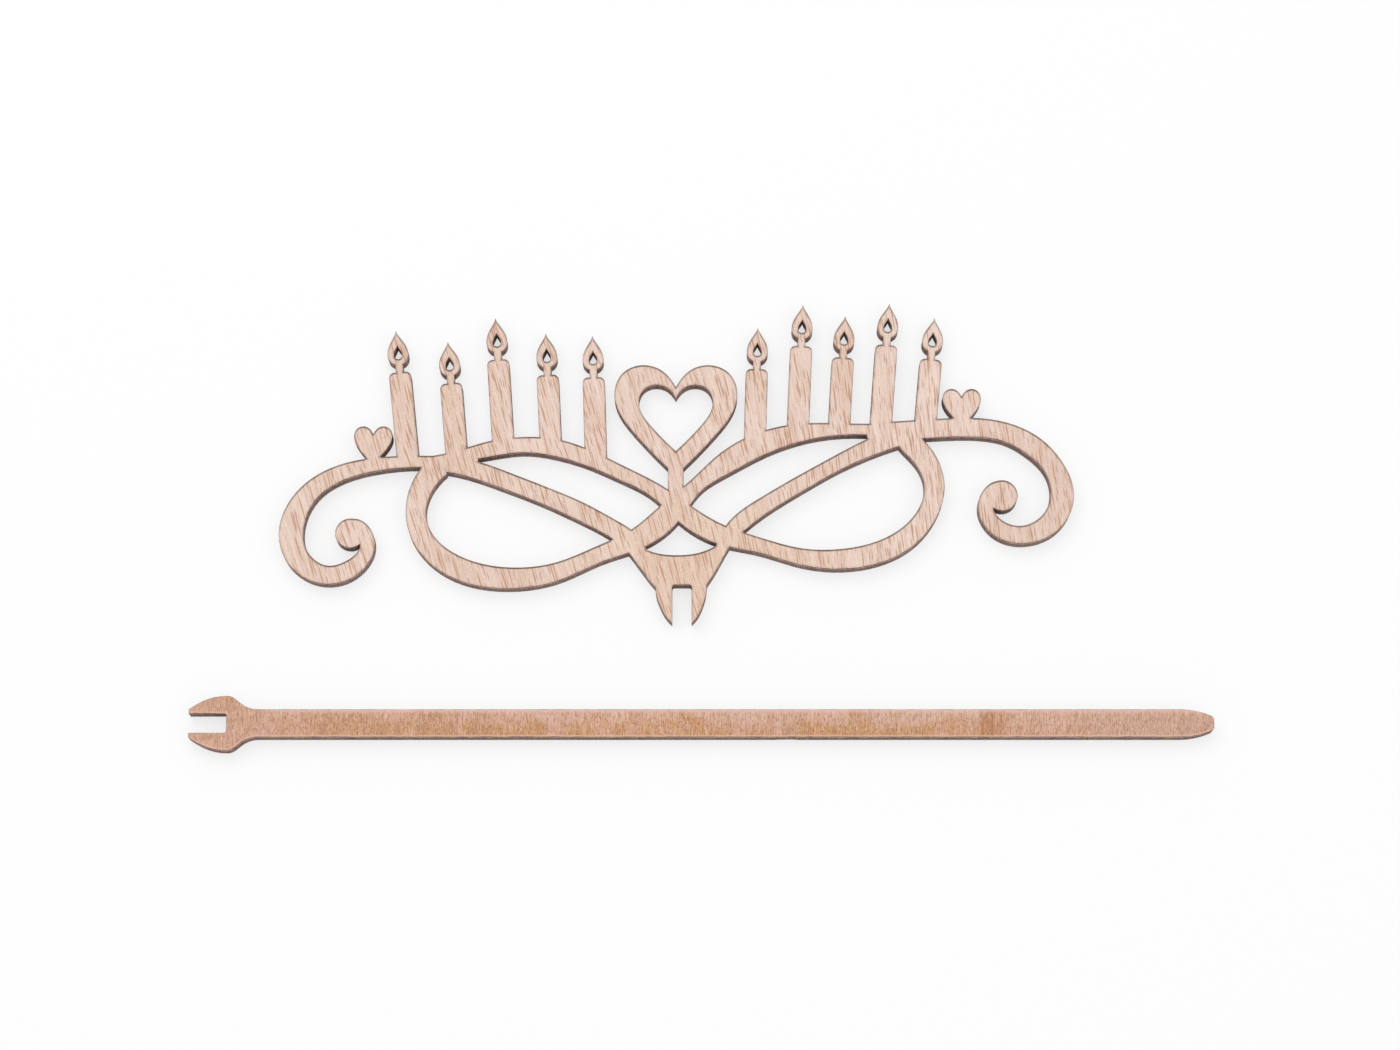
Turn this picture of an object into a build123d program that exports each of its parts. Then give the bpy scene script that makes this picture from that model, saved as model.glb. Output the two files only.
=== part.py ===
from build123d import *
import os

# A cake topper of two pieces cut from three-ply sheet: a plaque with a forked foot, and a stick with a
# slotted head. They lie side by side on a table, as they are delivered. Lengths are in millimetres.

# Plywood sheet, and the slots that one piece makes for the other's thickness
veneer_thickness = 0.9
core_thickness = 1.2
sheet_thickness = 2 * veneer_thickness + core_thickness
slot_clearance = 0.2
slot_width = sheet_thickness + slot_clearance
slot_corner_radius = 0.4
cut_overrun = 5.0

# Flourish of the plaque: two loops that cross in the middle, and an arm with a scroll at each end
flourish_width = 131.8
flourish_height = 29.1
stroke_width = 3.2
left_ball_radius = 2.5
right_ball_radius = 2.6
window_end_radius = 0.8

# Forked foot of the plaque
fork_shoulder_width = 17.2
fork_height = 12.7
fork_slot_depth = 6.4
prong_width = 2.6

# Candles that stand on the flourish, fanned out from the middle
candle_width = 3.7
candle_height = 15.5
candle_shoulder_radius = 0.9
wick_width = 1.3
wick_height = 1.2
flame_width = 3.5
flame_height = 6.0
end_lean = 9.0

# Hearts: a large open one over the crossing, and a small one on each arm
heart_width = 20.5
heart_height = 19.0
heart_stem_width = 2.6
heart_stem_height = 5.7
small_heart_width = 6.4
small_heart_height = 6.6

# Stick
stick_length = 168.0
shank_width = 4.6
head_width = 9.1
head_length = 11.5
head_crest_distance = 6.2
head_land = 0.7
stick_slot_depth = 6.2
tip_length = 5.5
tip_width = 2.1
tip_corner_radius = 0.7

# Layout on the table: room between the fork's tips and the stick's head, and the stick's shift to one side
table_gap = 12.2
stick_shift = 4.1

# Middle line of each stroke: share of the flourish's width, share of its height, share of the stroke's width
left_scroll_shares = [
    (0.194, 0.742, 0.64),
    (0.154, 0.741, 0.64),
    (0.123, 0.728, 0.72),
    (0.082, 0.686, 0.84),
    (0.041, 0.577, 1.00),
    (0.016, 0.354, 1.26),
    (0.024, 0.187, 1.19),
    (0.058, 0.082, 0.99),
    (0.091, 0.116, 0.93),
    (0.112, 0.252, 0.77),
    (0.108, 0.320, 0.79),
    (0.100, 0.360, 0.75),
    (0.091, 0.371, 0.64),
]
right_scroll_shares = [
    (0.765, 0.933, 0.80),
    (0.811, 0.935, 1.01),
    (0.849, 0.944, 1.01),
    (0.886, 0.942, 1.02),
    (0.921, 0.909, 1.03),
    (0.951, 0.833, 1.11),
    (0.976, 0.708, 1.07),
    (0.986, 0.550, 1.21),
    (0.972, 0.394, 1.15),
    (0.939, 0.316, 0.96),
    (0.905, 0.352, 0.90),
    (0.889, 0.473, 0.80),
    (0.893, 0.541, 0.79),
    (0.901, 0.581, 0.75),
    (0.910, 0.595, 0.64),
]
left_loop_shares = [
    (0.202, 0.724, 1.19),
    (0.179, 0.590, 1.15),
    (0.172, 0.453, 1.05),
    (0.181, 0.297, 1.08),
    (0.218, 0.139, 1.20),
    (0.289, 0.062, 1.12),
    (0.354, 0.105, 0.95),
    (0.404, 0.203, 0.87),
    (0.451, 0.293, 1.14),
    (0.492, 0.442, 1.26),
    (0.524, 0.599, 0.80),
    (0.557, 0.720, 1.12),
    (0.594, 0.822, 1.26),
    (0.655, 0.913, 0.97),
    (0.708, 0.934, 0.64),
    (0.786, 0.924, 1.00),
]
right_loop_shares = [
    (0.191, 0.742, 0.62),
    (0.229, 0.779, 0.67),
    (0.267, 0.820, 0.84),
    (0.307, 0.842, 0.84),
    (0.349, 0.823, 0.93),
    (0.392, 0.759, 0.84),
    (0.434, 0.669, 0.76),
    (0.474, 0.572, 0.79),
    (0.509, 0.442, 1.06),
    (0.555, 0.317, 1.06),
    (0.605, 0.252, 0.80),
    (0.655, 0.188, 0.87),
    (0.702, 0.171, 1.05),
    (0.745, 0.200, 1.13),
    (0.785, 0.283, 1.13),
    (0.812, 0.410, 1.05),
    (0.825, 0.595, 1.06),
    (0.815, 0.748, 1.15),
    (0.795, 0.856, 1.19),
    (0.783, 0.915, 1.00),
]
left_diagonal_shares = [
    (0.202, 0.731, 0.82),
    (0.242, 0.700, 0.93),
    (0.279, 0.642, 0.93),
    (0.333, 0.545, 0.92),
    (0.384, 0.440, 0.97),
    (0.417, 0.358, 0.93),
    (0.443, 0.272, 0.98),
]
right_diagonal_shares = [
    (0.780, 0.888, 0.98),
    (0.735, 0.808, 0.90),
    (0.692, 0.708, 0.80),
    (0.655, 0.612, 0.83),
    (0.610, 0.486, 0.88),
    (0.585, 0.404, 0.94),
    (0.563, 0.292, 0.78),
]
left_ball_shares = (0.090, 0.323)
right_ball_shares = (0.910, 0.544)
left_window_end_shares = (0.2437, 0.7519)
right_window_end_shares = (0.7464, 0.8959)
fork_axis_share = 0.507
fork_shoulder_share = 0.238
web_cut_share = 0.15
crossing_shares = (0.499, 0.465)

# The legs carry the diagonals on into the fork: share of its width, share of its height, share of a stroke
left_leg_shares = [(-0.350, 0.221, 0.70), (-0.212, 0.506, 0.46)]
right_leg_shares = [(0.330, 0.169, 0.50), (0.192, 0.481, 0.46)]

# The fork's shoulders and hollow top, from its axis and shoulder line, as shares of its width and height
left_shoulder_shares = [(-0.404, 0.190), (-0.322, 0.364)]
right_shoulder_shares = [(0.386, 0.150), (0.290, 0.325)]
fork_top_shares = [(-0.356, 0.019), (-0.212, 0.082), (-0.038, 0.100), (0.173, 0.064), (0.327, -0.031)]

# A prong's outer edge: how full the prong is, and share of the fork's height
left_prong_shares = [(1.14, 0.468), (1.02, 0.623), (0.81, 0.753), (0.50, 0.883)]
right_prong_shares = [(1.02, 0.442), (0.93, 0.597), (0.76, 0.740), (0.46, 0.883)]

# Candles: share of the way along the line that carries them, and share of the full candle height
left_arm_candle_shares = [(0.080, 1.00)]
left_arch_candle_shares = [(0.040, 0.82), (0.115, 0.97), (0.190, 0.80), (0.265, 0.93)]
right_arch_candle_shares = [(0.757, 0.86), (0.830, 0.97), (0.897, 0.80), (0.964, 0.95)]
right_arm_candle_shares = [(0.110, 0.78)]
flame_hole_share = 0.38
left_heart_share = 0.190
right_heart_share = 0.215

# Right half of a heart from its tip to its dip, and the hole in the large one
heart_half_shares = [
    (0, 0),
    (0.330, 0.370),
    (0.500, 0.710),
    (0.440, 0.920),
    (0.270, 1),
    (0.090, 0.930),
    (0, 0.800),
]
heart_tip_slope_shares = (1, 1)
heart_dip_slope_shares = (-1, -2)
heart_hole_share = 0.60
heart_hole_rise_share = 0.22


def on_flourish(across_share, up_share):
    """A point in the flourish's box, measured from its lower left corner."""
    return Vector(across_share * flourish_width, up_share * flourish_height)


def on_fork(across_share, down_share):
    """A point on the fork, measured from its axis and its shoulder line."""
    top = on_flourish(fork_axis_share, fork_shoulder_share)
    return top + Vector(across_share * fork_shoulder_width, -down_share * fork_height)


def flourish_points(shares):
    """The middle line of a stroke as points with the stroke's width at each."""
    return [(on_flourish(across, up), fullness * stroke_width) for across, up, fullness in shares]


def leg_points(shares):
    """The part of a diagonal that runs down into the fork."""
    return [(on_fork(across, down), fullness * stroke_width) for across, down, fullness in shares]


def middle_line(points):
    """A smooth line through the middle of a stroke."""
    return Spline(*[point for point, width in points])


def stroke(points):
    """A ribbon along a smooth line, as wide at each of its points as the width given there."""
    line = middle_line(points)
    left_side = []
    right_side = []
    for point, width in points:
        along = line.tangent_at(point)
        half = Vector(-along.Y, along.X) * (width / 2)
        left_side.append(point + half)
        right_side.append(point - half)
    edges = [
        Spline(*left_side),
        Line(left_side[-1], right_side[-1]),
        Spline(*right_side),
        Line(right_side[0], left_side[0]),
    ]
    return make_face(edges)


def disc(shares, radius):
    """A round patch of wood: the ball of a scroll, or the blunt end of a narrow window."""
    return Pos(*on_flourish(*shares)) * Circle(radius)


def fork():
    """The forked foot, with the slot that takes the stick's thickness."""
    foot = on_fork(0, 1)
    left_wall = Vector(-slot_width / 2, 0)
    right_wall = Vector(slot_width / 2, 0)
    left_edge = [on_fork(*shares) for shares in left_shoulder_shares]
    right_edge = [on_fork(*shares) for shares in right_shoulder_shares]
    top_edge = [on_fork(*shares) for shares in fork_top_shares]
    for fullness, down in left_prong_shares:
        left_edge.append(on_fork(0, down) + left_wall - Vector(fullness * prong_width, 0))
    for fullness, down in right_prong_shares:
        right_edge.append(on_fork(0, down) + right_wall + Vector(fullness * prong_width, 0))
    left_edge.append(foot + left_wall)
    right_edge.append(foot + right_wall)
    body = make_face([
        Spline(*left_edge),
        Line(left_edge[-1], right_edge[-1]),
        Spline(*reversed(right_edge)),
        Line(right_edge[0], top_edge[-1]),
        Spline(*top_edge),
        Line(top_edge[0], left_edge[0]),
    ])
    slot = Rectangle(slot_width, fork_slot_depth + cut_overrun, align=(Align.CENTER, Align.MAX))
    slot = fillet(slot.vertices().group_by(Axis.Y)[-1], slot_corner_radius)
    return body - Pos(foot.X, foot.Y + fork_slot_depth) * slot


def fork_foot(outline):
    """The foot of the fork, from the middle of its web down, with the slot in it."""
    web_height = fork_height - fork_slot_depth
    level = on_fork(0, 1) + Vector(0, fork_slot_depth + web_cut_share * web_height)
    area = Rectangle(fork_shoulder_width, fork_height + cut_overrun, align=(Align.CENTER, Align.MAX))
    return outline & Pos(level.X, level.Y) * area


def teardrop(width, height):
    """A flame's outline, round below and pointed above, standing on the origin."""
    radius = width / 2
    tip = (0, height)
    edges = [
        ThreePointArc((-radius, radius), (0, 0), (radius, radius)),
        Spline((radius, radius), tip, tangents=[(0, 1), (-radius, height)]),
        Spline(tip, (-radius, radius), tangents=[(-radius, -height), (0, -1)]),
    ]
    return make_face(edges)


def candle(height):
    """A candle with its wick and flame, standing on the origin."""
    body = Rectangle(candle_width, height, align=(Align.CENTER, Align.MIN))
    body = fillet(body.vertices().group_by(Axis.Y)[-1], candle_shoulder_radius)
    flame_foot = height + wick_height
    wick = Rectangle(wick_width, flame_foot + flame_height / 2, align=(Align.CENTER, Align.MIN))
    flame = Pos(0, flame_foot) * teardrop(flame_width, flame_height)
    hole = teardrop(flame_hole_share * flame_width, flame_hole_share * flame_height)
    hole = Pos(0, flame_foot + (1 - flame_hole_share) * flame_width / 2) * hole
    return body + wick + flame - hole


def candles_on(line, places):
    """Candles along a line, leaning away from the middle of the plaque."""
    standing = []
    for along_share, height_share in places:
        base = line @ along_share
        lean = end_lean * (base.X - fork_axis_share * flourish_width) / (flourish_width / 2)
        standing.append(Pos(base.X, base.Y) * Rot(0, 0, -lean) * candle(height_share * candle_height))
    return standing


def heart(width, height):
    """A solid heart with its tip on the origin."""
    edges = []
    for side in (1, -1):
        half = [(side * across * width, up * height) for across, up in heart_half_shares]
        slopes = [(side * across * width, up * height)
                  for across, up in (heart_tip_slope_shares, heart_dip_slope_shares)]
        edges.append(Spline(*half, tangents=slopes))
    return make_face(edges)


def open_heart():
    """The large heart, on a short stem that rises from the crossing."""
    crossing = on_flourish(*crossing_shares)
    hole_rise = heart_hole_rise_share * heart_height
    hole = heart(heart_hole_share * heart_width, heart_hole_share * heart_height)
    rim = heart(heart_width, heart_height) - Pos(0, hole_rise) * hole
    stem = Rectangle(heart_stem_width, heart_stem_height + hole_rise / 2, align=(Align.CENTER, Align.MIN))
    return Pos(crossing.X, crossing.Y) * (stem + Pos(0, heart_stem_height) * rim)


def small_heart(line, along_share):
    """A small heart with its tip in the arm that carries it."""
    base = line @ along_share
    return Pos(base.X, base.Y) * heart(small_heart_width, small_heart_height)


def plaque_outline():
    """The whole plaque as one flat face."""
    left_scroll = flourish_points(left_scroll_shares)
    right_scroll = flourish_points(right_scroll_shares)
    left_loop = flourish_points(left_loop_shares)
    right_loop = flourish_points(right_loop_shares)
    left_diagonal = flourish_points(left_diagonal_shares) + leg_points(left_leg_shares)
    right_diagonal = flourish_points(right_diagonal_shares) + leg_points(right_leg_shares)
    lines = [left_scroll, right_scroll, left_loop, right_loop, left_diagonal, right_diagonal]
    left_arm_line = middle_line(left_scroll)
    right_arm_line = middle_line(right_scroll)
    left_arch_line = middle_line(right_loop)
    right_arch_line = middle_line(left_loop)
    faces = [stroke(points) for points in lines]
    faces.append(disc(left_ball_shares, left_ball_radius))
    faces.append(disc(right_ball_shares, right_ball_radius))
    faces.append(disc(left_window_end_shares, window_end_radius))
    faces.append(disc(right_window_end_shares, window_end_radius))
    faces.append(fork())
    faces.append(open_heart())
    faces.append(small_heart(left_arm_line, left_heart_share))
    faces.append(small_heart(right_arm_line, right_heart_share))
    faces.extend(candles_on(left_arm_line, left_arm_candle_shares))
    faces.extend(candles_on(left_arch_line, left_arch_candle_shares))
    faces.extend(candles_on(right_arch_line, right_arch_candle_shares))
    faces.extend(candles_on(right_arm_line, right_arm_candle_shares))
    return Sketch() + faces


def stick_outline():
    """The stick along X, with the front of its head on the origin."""
    front = slot_width / 2 + head_land
    crest = head_width / 2
    shank = shank_width / 2
    tip = tip_width / 2
    taper_start = stick_length - tip_length
    head = [(0, front), (head_crest_distance, crest), (head_length, shank)]
    slopes = [(head_crest_distance, head_width - 2 * front), (1, 0), (1, 0)]
    upper = [
        Line((0, 0), (0, front)),
        Spline(*head, tangents=slopes),
        Line((head_length, shank), (taper_start, shank)),
        TangentArc((taper_start, shank), (stick_length, tip), tangent=(1, 0)),
        Line((stick_length, tip), (stick_length, 0)),
        Line((stick_length, 0), (0, 0)),
    ]
    half = make_face(upper)
    blank = half + mirror(half, about=Plane.XZ)
    blank = fillet(blank.vertices().group_by(Axis.X)[-1], tip_corner_radius)
    slot = Rectangle(stick_slot_depth + cut_overrun, slot_width, align=(Align.MAX, Align.CENTER))
    slot = fillet(slot.vertices().group_by(Axis.X)[-1], slot_corner_radius)
    return blank - Pos(stick_slot_depth, 0) * slot


def stick_head(outline):
    """The head of the stick, up to the start of its shank, with the slot in it."""
    area = Rectangle(head_length + cut_overrun, head_width + cut_overrun, align=(Align.MAX, Align.CENTER))
    return outline & Pos(head_length, 0) * area


def ply(outlines, thickness, level):
    """One ply of a piece: a solid on each outline, and the solids meet face to face."""
    solids = []
    for outline in outlines:
        solids.extend(extrude(outline, amount=thickness).solids())
    return Pos(0, 0, level) * Compound(solids)


def plies(outlines, name):
    """The three plies of one piece, the back veneer on the table."""
    front_level = veneer_thickness + core_thickness
    return {
        name + "_back_veneer": ply(outlines, veneer_thickness, 0),
        name + "_core_ply": ply(outlines, core_thickness, veneer_thickness),
        name + "_front_veneer": ply(outlines, veneer_thickness, front_level),
    }


plaque = plaque_outline()
foot = fork_foot(plaque)
fork_tip_level = on_fork(0, 1).Y
stick_level = fork_tip_level - table_gap - head_width / 2
stick_front = flourish_width / 2 + stick_shift - stick_length / 2
to_place = Pos(stick_front, stick_level)
stick = to_place * stick_outline()
head = to_place * stick_head(stick_outline())

# The origin is under the middle of the whole layout, on the table
layout = (plaque + stick).bounding_box().center()
to_origin = Pos(-layout.X, -layout.Y)
plaque_pieces = [to_origin * (plaque - foot), to_origin * foot]
stick_pieces = [to_origin * (stick - head), to_origin * head]
nodes = plies(plaque_pieces, "plaque") | plies(stick_pieces, "stick")

os.makedirs("parts", exist_ok=True)
for node_name, shape in nodes.items():
    export_step(shape, f"parts/{node_name}.step")
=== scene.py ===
import math

import bpy
import numpy as np
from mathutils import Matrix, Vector
from mathutils.geometry import delaunay_2d_cdt


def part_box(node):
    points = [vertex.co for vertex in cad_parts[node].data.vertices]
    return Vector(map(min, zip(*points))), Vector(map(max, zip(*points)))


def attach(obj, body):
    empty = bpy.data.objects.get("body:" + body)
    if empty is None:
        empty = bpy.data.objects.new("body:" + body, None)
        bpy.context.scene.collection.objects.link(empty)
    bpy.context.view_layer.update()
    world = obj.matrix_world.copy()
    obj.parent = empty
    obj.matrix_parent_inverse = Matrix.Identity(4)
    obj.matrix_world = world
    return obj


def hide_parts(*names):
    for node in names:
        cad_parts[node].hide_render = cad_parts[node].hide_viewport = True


# The cake topper's two plywood pieces as they lie on a white table. Outlines and places on the pieces are in
# millimetres, and the table, lights and camera are in metres.

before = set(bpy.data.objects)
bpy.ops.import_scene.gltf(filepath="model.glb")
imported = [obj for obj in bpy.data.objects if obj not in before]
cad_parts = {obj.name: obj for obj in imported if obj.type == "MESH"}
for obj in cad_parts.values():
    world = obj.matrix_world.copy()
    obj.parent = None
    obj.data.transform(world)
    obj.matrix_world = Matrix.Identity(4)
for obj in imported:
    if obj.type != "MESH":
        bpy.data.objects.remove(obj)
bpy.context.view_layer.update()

MM = 0.001

# Cut edge of a ply: rounding of its rims, border on its faces, and how far the core has burnt back
RIM = 0.07
BORDER = 0.36
CORE_RECESS = 0.05
INSET = RIM + BORDER
SHARP_ANGLE = math.radians(33)

# Wear of the rims: least and most share of their usual rounding
LEAST_WEAR = 0.3
MOST_WEAR = 1.7

# Border on the faces: how strongly it is marked where it doesn't face the piece's marked side
LEAST_MARK = 0.18
# The plaque's border is darkened most where its walls face +Y, and the stick's painted rim highlight is
# strongest where its walls face its near side
MARKED_SIDES = {"plaque": 1, "stick": -1}

# Chip in the stick's lower rim, on the side away from the plaque
CHIP_PLACE = 13.9
CHIP_HALF_LENGTH = 1.75
CHIP_HEIGHT = 0.5
CHIP_SLANT = 0.25
CHIP_SQUARENESS = 8

# Outlines read from the CAD: rounding of their points, tolerance of a level, and longest step between two points
DECIMALS = 3
LEVEL_TOLERANCE = 0.01
LONGEST_STEP = 0.5

# Insets of an outline: limit on the step at sharp corners, share of the free room that they take, and the most
# that this may change from point to point
SHARP_CORNER_LIMIT = 0.7
ROOM_TAKEN = 0.7
SHARE_SLOPE = 0.35
LEAST_DEPTH = 1e-6

# How Blender fills an outline: with triangles inside its edges, and with points this close taken as one
TRIANGLES_INSIDE = 1
SAME_POINT = 1e-5


def outlines_of(node):
    """The closed outlines of a ply, point by point, with the wood on the left of each."""
    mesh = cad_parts[node].data
    top = max(vertex.co.z for vertex in mesh.vertices)
    edges = set()
    for polygon in mesh.polygons:
        corners = [mesh.vertices[index].co for index in polygon.vertices]
        if min(corner.z for corner in corners) < top - LEVEL_TOLERANCE * MM:
            continue
        points = [(round(corner.x / MM, DECIMALS), round(corner.y / MM, DECIMALS)) for corner in corners]
        edges.update(zip(points, points[1:] + points[:1]))
    following = {start: end for start, end in sorted(edges) if (end, start) not in edges}
    loops = []
    while following:
        start = min(following)
        loop = [start]
        point = following.pop(start)
        while point != start:
            loop.append(point)
            point = following.pop(point)
        loops.append(even_loop(loop))
    return loops


def even_loop(loop):
    """The outline with more points on its long stretches."""
    points = []
    for start, end in zip(loop, loop[1:] + loop[:1]):
        start = np.array(start)
        end = np.array(end)
        count = math.ceil(np.linalg.norm(end - start) / LONGEST_STEP)
        for step in range(count):
            points.append(start + (end - start) * step / count)
    return np.array(points)


def inward(loop):
    """At each point of an outline, the step into the wood that makes a border one millimetre wide."""
    ahead = np.roll(loop, -1, axis=0) - loop
    ahead /= np.linalg.norm(ahead, axis=1, keepdims=True)
    left = np.column_stack([-ahead[:, 1], ahead[:, 0]])
    left_before = np.roll(left, 1, axis=0)
    turn = np.sum(left * left_before, axis=1, keepdims=True)
    return (left + left_before) / np.maximum(1 + turn, SHARP_CORNER_LIMIT)


def shares_of(loops):
    """At each point of each outline, the share of a full inset that the wood has room for.

    It falls at narrow tips, where a circle that touches the point and fits in the wood is small.
    """
    everywhere = np.concatenate(loops)
    shares = []
    for loop in loops:
        share = []
        for point, step in zip(loop, inward(loop)):
            away = everywhere - point
            depth = away @ step / np.linalg.norm(step)
            facing = depth > LEAST_DEPTH
            circle = np.min(np.sum(away[facing] ** 2, axis=1) / (2 * depth[facing]))
            share.append(min(ROOM_TAKEN * circle / INSET, 1))
        shares.append(eased(loop, share))
    return shares


def eased(loop, share):
    """The shares with gentle changes along the outline."""
    count = len(loop)
    for step in (1, -1):
        for number in range(-count, 2 * count)[::step]:
            here = number % count
            before = (number - step) % count
            limit = share[before] + SHARE_SLOPE * np.linalg.norm(loop[here] - loop[before]) / INSET
            share[here] = min(share[here], limit)
    return np.array(share)


def wear_of(loop, random):
    """How much wider or narrower than usual the rim's rounding is at each point of an outline."""
    wear = random.uniform(LEAST_WEAR, MOST_WEAR, len(loop))
    return (np.roll(wear, 1) + 2 * wear + np.roll(wear, -1)) / 4


def mark_of(loop, marked_side):
    """How strongly the border is marked at each point of an outline: most where it faces the marked side.

    The plaque's border is darkened most along the edges whose walls face +Y, and the stick's painted rim
    highlight is strongest on its near side.
    """
    step = inward(loop)
    facing = -marked_side * step[:, 1] / np.linalg.norm(step, axis=1)
    return LEAST_MARK + (1 - LEAST_MARK) * np.clip(facing, 0, 1)


def chip_of(loop):
    """How high the stick's lower rim is broken away at each point of its outline."""
    along = (loop[:, 0] - CHIP_PLACE) / CHIP_HALF_LENGTH
    is_near_side = loop[:, 1] < loop[:, 1].mean()
    profile = np.clip(1 - along ** CHIP_SQUARENESS, 0, 1) * (1 - CHIP_SLANT + CHIP_SLANT * along)
    return CHIP_HEIGHT * profile * is_near_side


def edges_of(loops):
    """The edges of all the outlines in turn, as pairs of numbers of their points."""
    edges = []
    first = 0
    for loop in loops:
        numbers = list(range(first, first + len(loop)))
        edges += zip(numbers, numbers[1:] + numbers[:1])
        first += len(loop)
    return edges


def filled(loops):
    """Triangles that fill the outlines and leave their holes open, as numbers of the outlines' points."""
    points = np.concatenate(loops)
    ends = np.concatenate([np.roll(loop, -1, axis=0) for loop in loops])
    corners = [Vector(point) for point in points]
    made = delaunay_2d_cdt(corners, edges_of(loops), [], TRIANGLES_INSIDE, SAME_POINT)
    triangles, sources = made[2:4]
    faces = [[sources[number][0] for number in triangle] for triangle in triangles]
    return [face for face in faces if is_wood(points[face].mean(axis=0), points, ends)]


def is_wood(spot, starts, ends):
    """Whether a spot is in the wood: a line from it to the right then crosses an odd number of edges."""
    passing = (starts[:, 1] > spot[1]) != (ends[:, 1] > spot[1])
    start = starts[passing]
    run = ends[passing] - start
    crossings = start[:, 0] + run[:, 0] * (spot[1] - start[:, 1]) / run[:, 1]
    return np.sum(crossings > spot[0]) % 2 == 1


def rows_of(node, is_core):
    """The levels of a ply's rings with the inset of each, from the bottom up, and which bands are its wall."""
    low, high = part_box(node)
    bottom = low.z / MM
    top = high.z / MM
    rows = [(bottom, RIM), (bottom + RIM, 0), (top - RIM, 0), (top, RIM)]
    if is_core:
        return rows, (0, 1, 2)
    return [(bottom, INSET), *rows, (top, INSET)], (1, 2, 3)


def ply(name, node, loops, shares, wears, marks, chips, is_core):
    """One ply of a piece, with rounded rims, a border on its two faces, and a cut wall around it."""
    rows, wall_bands = rows_of(node, is_core)
    bottom = rows[0][0]
    recess = CORE_RECESS if is_core else 0
    points = []
    nearness = []
    marking = []
    rings = []
    for level, inset in rows:
        is_border = inset > RIM
        is_lower_rim = level < bottom + 2 * RIM and not is_border
        row_rings = []
        for loop, share, wear, mark, chip in zip(loops, shares, wears, marks, chips):
            amount = inset if is_border else inset * wear
            ring = loop + inward(loop) * (share * (recess + amount))[:, None]
            lift = chip * is_lower_rim
            row_rings.append(ring)
            points += [(x * MM, y * MM, (level + up) * MM) for (x, y), up in zip(ring, lift)]
            nearness.extend(1 - share if is_border else np.ones(len(loop)))
            marking.extend(mark * (lift == 0))
        rings.append(row_rings)
    row_length = sum(len(loop) for loop in loops)
    broken = np.concatenate(chips) > 0
    faces = []
    is_wall = []
    for band in range(len(rows) - 1):
        for start, end in edges_of(loops):
            here = band * row_length + start
            there = band * row_length + end
            faces.append((here, there, there + row_length, here + row_length))
            is_beside_chip = band == 0 and (broken[start] or broken[end])
            is_wall.append(band in wall_bands or is_beside_chip)
    for face in filled(rings[0]):
        faces.append(face[::-1])
    last_row = (len(rows) - 1) * row_length
    for face in filled(rings[-1]):
        faces.append([last_row + number for number in face])
    is_wall += [False] * (len(faces) - len(is_wall))
    mesh = bpy.data.meshes.new(name)
    mesh.from_pydata(points, [], faces)
    mesh.attributes.new("edge_nearness", "FLOAT", "POINT").data.foreach_set("value", nearness)
    mesh.attributes.new("edge_marking", "FLOAT", "POINT").data.foreach_set("value", marking)
    mesh.polygons.foreach_set("material_index", [int(wall) for wall in is_wall])
    mesh.shade_smooth()
    mesh.set_sharp_from_angle(angle=SHARP_ANGLE)
    piece = bpy.data.objects.new(name, mesh)
    bpy.context.scene.collection.objects.link(piece)
    return piece


def new_material(name):
    """An empty material with its main shader."""
    material = bpy.data.materials.new(name)
    material.use_nodes = True
    tree = material.node_tree
    tree.nodes.clear()
    output = tree.nodes.new("ShaderNodeOutputMaterial")
    shader = tree.nodes.new("ShaderNodeBsdfPrincipled")
    tree.links.new(shader.outputs["BSDF"], output.inputs["Surface"])
    return material, tree, shader


def put(tree, socket, value):
    """Sets a socket to a value, or links another node to it."""
    if isinstance(value, bpy.types.NodeSocket):
        tree.links.new(value, socket)
    else:
        socket.default_value = value


def calculate(tree, operation, *values):
    """The result of a math node on one to three values."""
    node = tree.nodes.new("ShaderNodeMath")
    node.operation = operation
    for socket, value in zip(node.inputs, values):
        put(tree, socket, value)
    return node.outputs["Value"]


def times(tree, first, second):
    """One value times another."""
    return calculate(tree, "MULTIPLY", first, second)


def plus(tree, first, second):
    """One value plus another."""
    return calculate(tree, "ADD", first, second)


def minus(tree, first, second):
    """One value less another."""
    return calculate(tree, "SUBTRACT", first, second)


def joined(tree, x, y, z):
    """Three values as one vector."""
    node = tree.nodes.new("ShaderNodeCombineXYZ")
    put(tree, node.inputs["X"], x)
    put(tree, node.inputs["Y"], y)
    put(tree, node.inputs["Z"], z)
    return node.outputs["Vector"]


def noise(tree, place, scales, detail, roughness=0.5, shift=0.0):
    """Noise with its own number of features per millimetre along each axis."""
    scaled = [calculate(tree, "MULTIPLY_ADD", axis, scale, shift) for axis, scale in zip(place, scales)]
    node = tree.nodes.new("ShaderNodeTexNoise")
    put(tree, node.inputs["Vector"], joined(tree, *scaled))
    node.inputs["Scale"].default_value = 1.0
    node.inputs["Detail"].default_value = detail
    node.inputs["Roughness"].default_value = roughness
    return node.outputs["Fac"]


def stretch(tree, value, low, high, new_low=0.0, new_high=1.0):
    """A smooth step between two levels."""
    node = tree.nodes.new("ShaderNodeMapRange")
    node.interpolation_type = "SMOOTHSTEP"
    put(tree, node.inputs["Value"], value)
    node.inputs["From Min"].default_value = low
    node.inputs["From Max"].default_value = high
    node.inputs["To Min"].default_value = new_low
    node.inputs["To Max"].default_value = new_high
    return node.outputs["Result"]


def between(tree, value, rise, fall, peak=1.0):
    """A smooth hill: it rises to its peak over one range, and falls back over another."""
    rising = stretch(tree, value, *rise, 0.0, peak)
    falling = stretch(tree, value, *fall, 1.0, 0.0)
    return times(tree, rising, falling)


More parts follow.
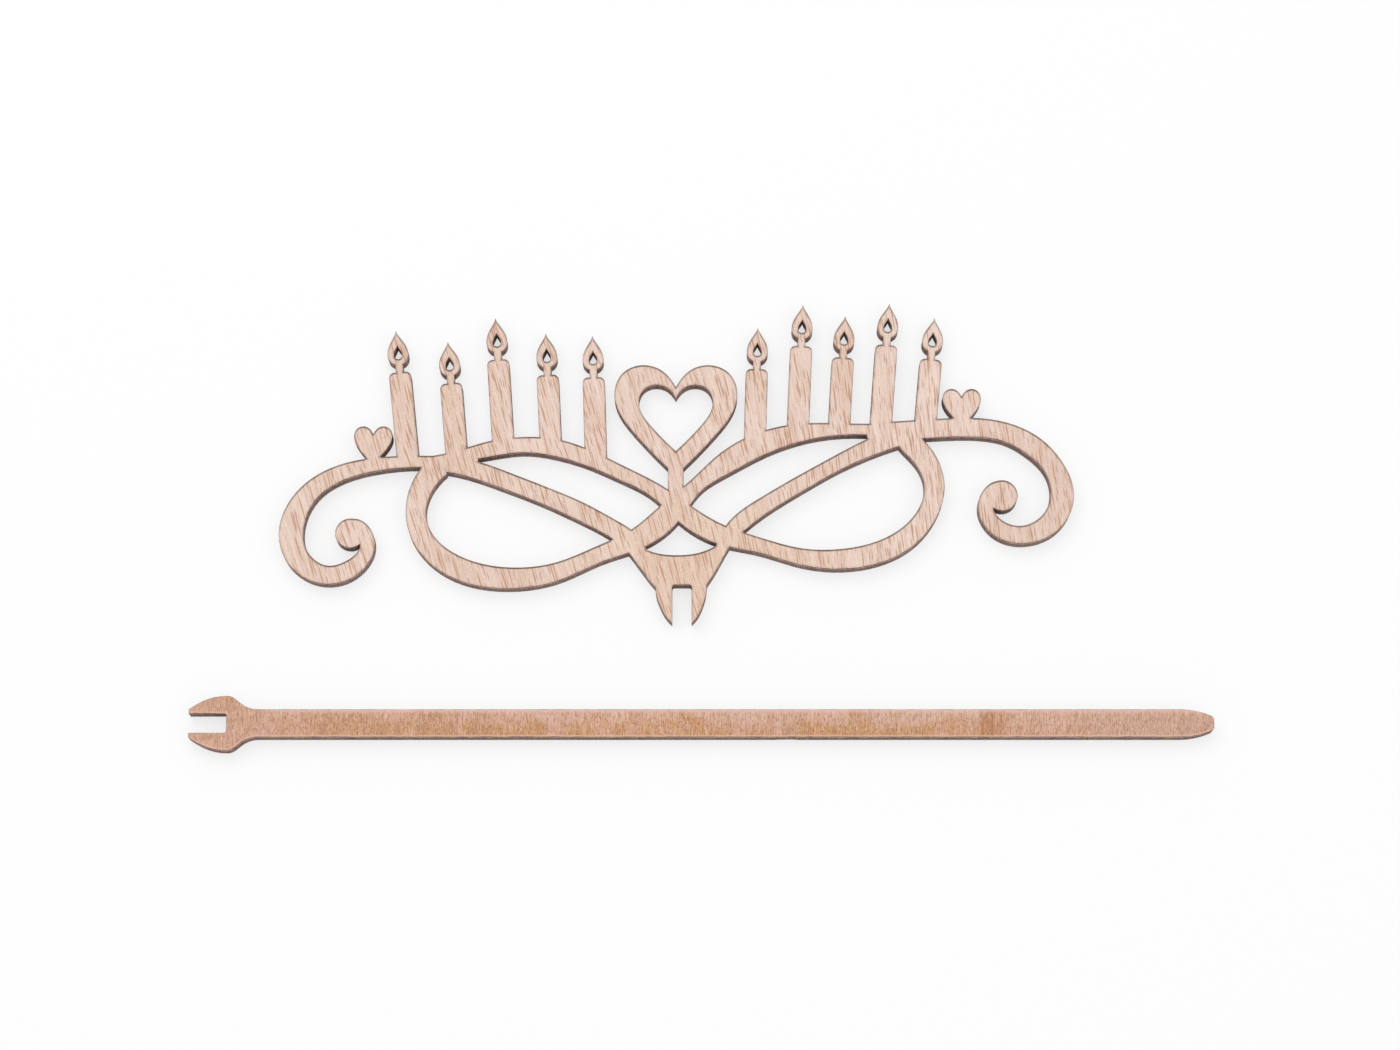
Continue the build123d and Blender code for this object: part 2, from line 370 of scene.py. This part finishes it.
def layered(tree, colour, layers):
    """A colour with others laid over it in turn, each with its own strength."""
    for strength, upper in layers:
        node = tree.nodes.new("ShaderNodeMix")
        node.data_type = "RGBA"
        factor, lower_colour, upper_colour = (node.inputs[number] for number in (0, 6, 7))
        put(tree, factor, strength)
        put(tree, lower_colour, colour if isinstance(colour, bpy.types.NodeSocket) else (*colour, 1))
        put(tree, upper_colour, (*upper, 1))
        colour = node.outputs[2]
    return colour


def place_in_mm(tree):
    """The place on the piece, in millimetres along its three axes."""
    coordinates = tree.nodes.new("ShaderNodeTexCoord")
    apart = tree.nodes.new("ShaderNodeSeparateXYZ")
    tree.links.new(coordinates.outputs["Object"], apart.inputs["Vector"])
    return [calculate(tree, "DIVIDE", apart.outputs[axis], MM) for axis in "XYZ"]


def attribute(tree, name):
    """A value that the mesh has at each of its points."""
    node = tree.nodes.new("ShaderNodeAttribute")
    node.attribute_name = name
    return node.outputs["Fac"]


def pores(tree, across, along, width, length, kept, shift):
    """Dashes of about one width and length in millimetres.

    A place has one by chance, with its own strength. The share that is kept is higher along some lines.
    """
    radius = 0.3
    solid_share = 0.45
    softness = 0.35
    line_scales = (0.9, 0.02, 0.0)
    scaled = []
    for axis, size in ((across, width), (along, length)):
        scaled.append(calculate(tree, "MULTIPLY_ADD", axis, 2 * radius / size, shift))
    node = tree.nodes.new("ShaderNodeTexVoronoi")
    node.voronoi_dimensions = "2D"
    node.inputs["Scale"].default_value = 1.0
    put(tree, node.inputs["Vector"], joined(tree, *scaled, 0.0))
    chance = tree.nodes.new("ShaderNodeSeparateColor")
    tree.links.new(node.outputs["Color"], chance.inputs["Color"])
    lines = noise(tree, (across, along, 0.0), line_scales, detail=2, shift=shift)
    luck = plus(tree, chance.outputs["Red"], minus(tree, lines, 0.5))
    strength = stretch(tree, luck, 1 - kept, 1 - kept + softness)
    dash = stretch(tree, node.outputs["Distance"], solid_share * radius, radius, 1.0, 0.0)
    return times(tree, dash, strength)


def bump(tree, shader, height, strength, distance):
    """Relief on a surface, with its depth in millimetres."""
    node = tree.nodes.new("ShaderNodeBump")
    node.inputs["Strength"].default_value = strength
    node.inputs["Distance"].default_value = distance * MM
    put(tree, node.inputs["Height"], height)
    tree.links.new(node.outputs["Normal"], shader.inputs["Normal"])


def border_darkening(tree, place, strength):
    """How strongly the border of a face is darkened, unevenly along its edge: lightly all round, where the
    cutting beam browned it, and most along the edges whose walls face the marked side.
    """
    border = stretch(tree, attribute(tree, "edge_nearness"), 0.1, 0.65)
    marked = times(tree, border, attribute(tree, "edge_marking"))
    patches = noise(tree, place, (0.35, 0.35, 0.2), detail=2, shift=57.0)
    return times(tree, marked, stretch(tree, patches, 0.3, 0.7, 0.75 * strength, strength))


def plaque_veneer():
    """Pale veneer with thin orange-brown pores that run up the plaque and lean more on its left side."""
    material, tree, shader = new_material("plaque veneer")
    x, y, z = place = place_in_mm(tree)

    # Grain, which leans and drifts
    lean = stretch(tree, x, -10, 30, 0.29, 0.115)
    drift = noise(tree, place, (0.12, 0.03, 0.9), detail=2)
    across = plus(tree, plus(tree, x, times(tree, y, lean)), times(tree, drift, 2.4))
    grain = (across, y, z)
    clouds = noise(tree, grain, (0.22, 0.035, 0.1), detail=3, roughness=0.55, shift=7.0)
    fibre = noise(tree, grain, (2.3, 0.10, 0.3), detail=4, roughness=0.68, shift=31.0)
    specks = noise(tree, place, (3.4, 2.4, 2.0), detail=2, roughness=0.6, shift=11.0)
    long_pores = pores(tree, across, y, width=0.28, length=5.6, kept=0.74, shift=3.0)
    short_pores = pores(tree, across, y, width=0.24, length=2.2, kept=0.64, shift=17.0)

    # Tones that differ from place to place: a warm foot, a pale right loop and a duller right scroll
    warm_middle = between(tree, x, rise=(-26, -6), fall=(8, 36), peak=0.5)
    warm_foot = times(tree, warm_middle, stretch(tree, y, 6, -4))
    pale_loop = between(tree, x, rise=(24, 36), fall=(42, 50), peak=0.45)
    dull_scroll = stretch(tree, x, 44, 58, 0.0, 0.5)

    colour = layered(tree, (0.80, 0.62, 0.528), [
        (stretch(tree, clouds, 0.35, 0.65), (0.75, 0.555, 0.452)),
        (warm_foot, (0.775, 0.57, 0.42)),
        (pale_loop, (0.86, 0.69, 0.61)),
        (dull_scroll, (0.72, 0.53, 0.44)),
        (stretch(tree, fibre, 0.46, 0.66, 0.0, 0.6), (0.63, 0.42, 0.32)),
        (stretch(tree, fibre, 0.46, 0.30, 0.0, 0.6), (0.90, 0.74, 0.67)),
        (stretch(tree, specks, 0.52, 0.72, 0.0, 0.5), (0.90, 0.76, 0.69)),
        (stretch(tree, specks, 0.46, 0.28, 0.0, 0.4), (0.62, 0.44, 0.35)),
        (times(tree, long_pores, 0.78), (0.50, 0.25, 0.145)),
        (times(tree, short_pores, 0.66), (0.48, 0.25, 0.155)),
        (border_darkening(tree, place, strength=0.95), (0.085, 0.058, 0.05)),
    ])
    put(tree, shader.inputs["Base Color"], colour)
    open_pores = calculate(tree, "MAXIMUM", long_pores, short_pores)
    put(tree, shader.inputs["Roughness"], stretch(tree, open_pores, 0, 1, 0.58, 0.78))
    shader.inputs["Specular IOR Level"].default_value = 0.28
    relief = minus(tree, times(tree, fibre, 0.5), open_pores)
    bump(tree, shader, relief, strength=0.4, distance=0.05)
    return material


def stick_veneer():
    """Tan veneer with fine short grain across the stick, golden on its near side, with one strong band."""
    material, tree, shader = new_material("stick veneer")
    x, y, z = place = place_in_mm(tree)

    # Grain, which runs across the stick and drifts a little
    drift = noise(tree, place, (0.2, 0.12, 0.9), detail=2)
    across = plus(tree, x, times(tree, drift, 0.9))
    grain = (across, y, z)
    dark_flecks = pores(tree, across, y, width=0.21, length=0.9, kept=0.72, shift=5.0)
    specks = pores(tree, across, y, width=0.21, length=0.42, kept=0.68, shift=29.0)
    light_flecks = pores(tree, across, y, width=0.22, length=0.8, kept=0.66, shift=53.0)
    fibre = noise(tree, grain, (3.1, 0.42, 0.3), detail=3, roughness=0.7, shift=67.0)
    figure = noise(tree, grain, (0.45, 0.03, 0.1), detail=3, roughness=0.6, shift=23.0)
    blush = noise(tree, grain, (0.30, 0.16, 0.1), detail=2, shift=83.0)

    # Golden near side: its border wavers, lies further over on the left, and it fades towards both ends
    patches = noise(tree, place, (0.16, 0.22, 0.1), detail=3, roughness=0.6, shift=41.0)
    wavering = plus(tree, y, times(tree, patches, 10.0))
    wavering = plus(tree, wavering, stretch(tree, x, -45, -20, -1.3, 0.0))
    golden = stretch(tree, wavering, -30.0, -26.6, 1.0, 0.0)
    golden = times(tree, golden, stretch(tree, x, -74, -62))
    golden = times(tree, golden, stretch(tree, x, 30, 60, 1.0, 0.35))

    # Strong band, with a sharp start, a soft end and even lines that the grain breaks up
    band_line_place = 46.0
    band_line_spacing = 1.6
    band = between(tree, x, rise=(45.5, 45.7), fall=(46.5, 52.5))
    streaks = noise(tree, grain, (0.9, 0.12, 0.1), detail=2, roughness=0.6, shift=71.0)
    turns = times(tree, minus(tree, x, band_line_place), math.tau / band_line_spacing)
    lines = stretch(tree, calculate(tree, "COSINE", turns), 0.2, 1.0, 0.5, 1.0)
    lines = times(tree, lines, stretch(tree, streaks, 0.35, 0.60, 0.7, 1.0))

    # Painted highlights: a pale rim, strongest on the near side, and a pale strip along the far rim behind the
    # head
    painted_far_rim_highlight = times(tree, stretch(tree, y, -32.0, -31.3), stretch(tree, x, -74, -68, 0.0, 0.6))
    marked = stretch(tree, attribute(tree, "edge_marking"), 0.2, 0.9, 0.15, 0.65)
    painted_rim_highlight = times(tree, stretch(tree, attribute(tree, "edge_nearness"), 0.05, 0.5), marked)

    colour = layered(tree, (0.68, 0.425, 0.325), [
        (golden, (0.58, 0.30, 0.14)),
        (stretch(tree, x, 40, 78, 0.0, 0.7), (0.59, 0.365, 0.27)),
        (stretch(tree, x, -76, -10, 0.6, 0.0), (0.565, 0.31, 0.20)),
        (stretch(tree, blush, 0.52, 0.68, 0.0, 0.55), (0.73, 0.44, 0.35)),
        (stretch(tree, figure, 0.50, 0.72, 0.0, 0.5), (0.50, 0.265, 0.155)),
        (times(tree, band, lines), (0.45, 0.18, 0.07)),
        (stretch(tree, fibre, 0.49, 0.66, 0.0, 0.6), (0.40, 0.20, 0.11)),
        (stretch(tree, fibre, 0.46, 0.30, 0.0, 0.5), (0.80, 0.57, 0.45)),
        (times(tree, light_flecks, 0.42), (0.86, 0.64, 0.52)),
        (times(tree, dark_flecks, 0.60), (0.35, 0.165, 0.085)),
        (times(tree, specks, stretch(tree, golden, 0.0, 1.0, 0.45, 0.85)), (0.28, 0.135, 0.08)),
        # Painted highlights along the far rim and around the rim
        (painted_far_rim_highlight, (0.80, 0.52, 0.455)),
        (painted_rim_highlight, (0.76, 0.475, 0.36)),
    ])
    put(tree, shader.inputs["Base Color"], colour)
    open_pores = calculate(tree, "MAXIMUM", dark_flecks, specks)
    put(tree, shader.inputs["Roughness"], stretch(tree, open_pores, 0, 1, 0.6, 0.76))
    shader.inputs["Specular IOR Level"].default_value = 0.28
    bump(tree, shader, minus(tree, light_flecks, open_pores), strength=0.4, distance=0.04)
    return material


def cut_wall(name, wood, burnt, pale, pale_amount, char_level, char_reach):
    """The wall left by the cutting beam: fine upright marks, paler fibres along it, and a charred level."""
    material, tree, shader = new_material(name)
    place = place_in_mm(tree)
    height = place[-1]
    marks = noise(tree, place, (3.6, 3.6, 0.25), detail=2, roughness=0.6, shift=2.0)
    fibres = noise(tree, place, (1.3, 1.3, 5.0), detail=3, roughness=0.65, shift=9.0)
    soot = noise(tree, place, (0.3, 0.3, 0.5), detail=3, roughness=0.55, shift=19.0)
    off_level = calculate(tree, "ABSOLUTE", minus(tree, height, char_level))
    colour = layered(tree, wood, [
        (stretch(tree, soot, 0.35, 0.65, 0.0, 0.75), burnt),
        (stretch(tree, marks, 0.42, 0.70, 0.0, 0.75), burnt),
        (stretch(tree, fibres, 0.50, 0.66, 0.0, pale_amount), pale),
        (stretch(tree, off_level, 0, char_reach, 0.85, 0.0), burnt),
    ])
    put(tree, shader.inputs["Base Color"], colour)
    put(tree, shader.inputs["Roughness"], stretch(tree, marks, 0.3, 0.7, 0.55, 0.8))
    shader.inputs["Specular IOR Level"].default_value = 0.25
    bump(tree, shader, marks, strength=0.5, distance=0.04)
    return material


# Materials, and the pieces made from the plies
veneers = {"plaque": plaque_veneer(), "stick": stick_veneer()}
walls = {
    "front_veneer": cut_wall(
        "front cut wall", wood=(0.50, 0.31, 0.235), burnt=(0.205, 0.108, 0.085), pale=(0.78, 0.57, 0.47),
        pale_amount=0.85, char_level=3.0, char_reach=0.35),
    "core_ply": cut_wall(
        "core cut wall", wood=(0.29, 0.185, 0.155), burnt=(0.13, 0.082, 0.074), pale=(0.42, 0.30, 0.26),
        pale_amount=0.4, char_level=1.75, char_reach=0.7),
    "back_veneer": cut_wall(
        "back cut wall", wood=(0.37, 0.26, 0.24), burnt=(0.19, 0.13, 0.122), pale=(0.52, 0.40, 0.375),
        pale_amount=0.5, char_level=0.95, char_reach=0.35),
}

random = np.random.default_rng(11)
for body, veneer in veneers.items():
    loops = outlines_of(body + "_front_veneer")
    shares = shares_of(loops)
    marks = [mark_of(loop, MARKED_SIDES[body]) for loop in loops]
    for layer, wall in walls.items():
        node = f"{body}_{layer}"
        is_core = layer == "core_ply"
        wears = [wear_of(loop, random) for loop in loops]
        is_chipped = node == "stick_back_veneer"
        chips = [chip_of(loop) * is_chipped for loop in loops]
        piece = ply(node + "_sheet", node, loops, shares, wears, marks, chips, is_core)
        piece.data.materials.append(veneer)
        piece.data.materials.append(wall)
        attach(piece, body)
        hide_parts(node)


# Table, light and camera
def seen_directly(tree):
    """One for rays from the camera, in mirrors and through glass, and zero for light on things."""
    path = tree.nodes.new("ShaderNodeLightPath")
    mirrored = calculate(tree, "MAXIMUM", path.outputs["Is Glossy Ray"], path.outputs["Is Transmission Ray"])
    return calculate(tree, "MAXIMUM", path.outputs["Is Camera Ray"], mirrored)


def table():
    """A white table whose own white is lifted to the background's white, and which keeps a faint shadow."""
    half = 3.0
    lift = 0.7
    mesh = bpy.data.meshes.new("table")
    corners = [(-half, -half, 0), (half, -half, 0), (half, half, 0), (-half, half, 0)]
    mesh.from_pydata(corners, [], [(0, 1, 2, 3)])
    material, tree, shader = new_material("white table")
    shader.inputs["Base Color"].default_value = (0.96, 0.96, 0.96, 1)
    shader.inputs["Roughness"].default_value = 0.9
    shader.inputs["Specular IOR Level"].default_value = 0.0
    white = tree.nodes.new("ShaderNodeEmission")
    mix = tree.nodes.new("ShaderNodeMixShader")
    put(tree, mix.inputs["Fac"], times(tree, seen_directly(tree), lift))
    tree.links.new(shader.outputs["BSDF"], mix.inputs[1])
    tree.links.new(white.outputs["Emission"], mix.inputs[2])
    tree.links.new(mix.outputs["Shader"], tree.nodes["Material Output"].inputs["Surface"])
    mesh.materials.append(material)
    piece = bpy.data.objects.new("table", mesh)
    bpy.context.scene.collection.objects.link(piece)


def lamp(name, place, size, power):
    """A square soft light that faces the middle of the layout."""
    light = bpy.data.lights.new(name, "AREA")
    light.size = size
    light.energy = power
    piece = bpy.data.objects.new(name, light)
    piece.location = place
    piece.rotation_mode = "QUATERNION"
    piece.rotation_quaternion = (-Vector(place)).to_track_quat("-Z", "Y")
    bpy.context.scene.collection.objects.link(piece)


def camera():
    """A long lens that looks steeply down at the layout from the stick's side."""
    elevation = math.radians(77)
    lens = 100.0
    frame_width = 0.2325
    aim = Vector((-0.0002, 0.0002, 0.0015))
    data = bpy.data.cameras.new("camera")
    data.lens = lens
    data.clip_start = 0.01
    distance = frame_width * lens / data.sensor_width
    piece = bpy.data.objects.new("camera", data)
    piece.location = aim + distance * Vector((0, -math.cos(elevation), math.sin(elevation)))
    piece.rotation_mode = "QUATERNION"
    piece.rotation_quaternion = (aim - piece.location).to_track_quat("-Z", "Y")
    bpy.context.scene.collection.objects.link(piece)
    bpy.context.scene.camera = piece


def studio():
    """White surroundings: a plain level of light on things, and full white where they are seen."""
    light_level = 0.62
    world = bpy.data.worlds.new("studio")
    world.use_nodes = True
    tree = world.node_tree
    background = tree.nodes["Background"]
    background.inputs["Color"].default_value = (1, 1, 1, 1)
    lifted = calculate(tree, "MULTIPLY_ADD", seen_directly(tree), 1 - light_level, light_level)
    put(tree, background.inputs["Strength"], lifted)
    bpy.context.scene.world = world


table()
lamp("key light", place=(-0.25, 0.45, 0.9), size=0.9, power=4.4)
lamp("fill light", place=(0.4, -0.2, 0.9), size=1.0, power=1.6)
studio()
camera()
bpy.context.scene.view_settings.view_transform = "Standard"
